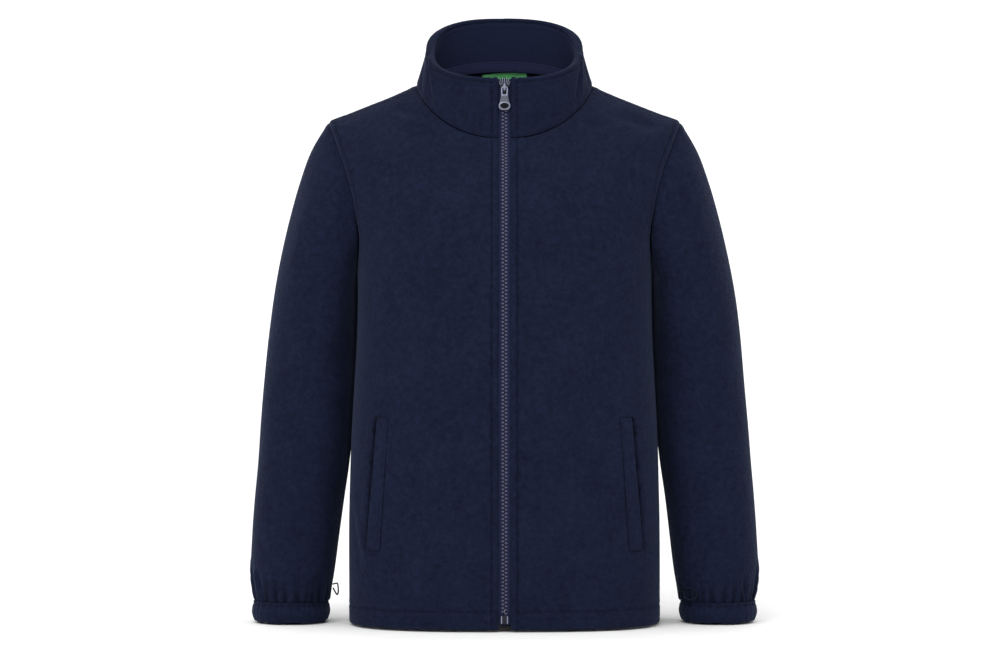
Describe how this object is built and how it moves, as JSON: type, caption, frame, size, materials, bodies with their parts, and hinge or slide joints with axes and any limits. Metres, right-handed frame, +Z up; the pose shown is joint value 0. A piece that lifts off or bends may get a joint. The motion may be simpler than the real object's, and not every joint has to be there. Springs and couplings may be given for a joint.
{
  "type": "child's fleece zip jacket",
  "caption": "Child's fleece jacket with a stand collar, full-length front zip, slanted welt pockets and elastic cuffs, filled out hollow as if worn.",
  "frame": {"origin": "centre of the neck, at the height where the shoulder seams meet the collar, where the wearer's shoulders hold the jacket up", "axes": "+Z up, -Y the way the front faces, +X towards the wearer's left sleeve"},
  "size_m": [0.4136, 0.1756, 0.4955],
  "materials": {
    "fleece": "brushed fleece with a short soft nap",
    "tape": "plain woven tape",
    "label": "satin woven label",
    "zip_teeth": "moulded gloss",
    "zip_metal": "gloss enamel",
    "elastic": "round braided elastic"
  },
  "bodies": {
    "jacket": {"front_left": "fleece", "front_right": "fleece", "back": "fleece", "sleeve_left": "fleece", "sleeve_right": "fleece", "cuff_left": "fleece", "cuff_right": "fleece", "collar": "fleece", "neck_tape": "tape", "neck_label": "label", "welt_left": "fleece", "welt_right": "fleece", "zip_tape_left": "tape", "zip_tape_right": "tape", "zip_teeth_left": "zip_teeth", "zip_teeth_right": "zip_teeth", "zip_slider": "zip_metal", "zip_box": "zip_metal", "cuff_loop_left": "elastic", "cuff_loop_right": "elastic"},
    "pull": {"pull_tab": "zip_metal"}
  },
  "joints": [
    {"name": "pull_swing", "type": "hinge", "parent": "jacket", "child": "pull", "pos_m": [0, -0.05659, -0.00551], "axis": [-1, 0, 0], "range_deg": [0, 150]}
  ]
}
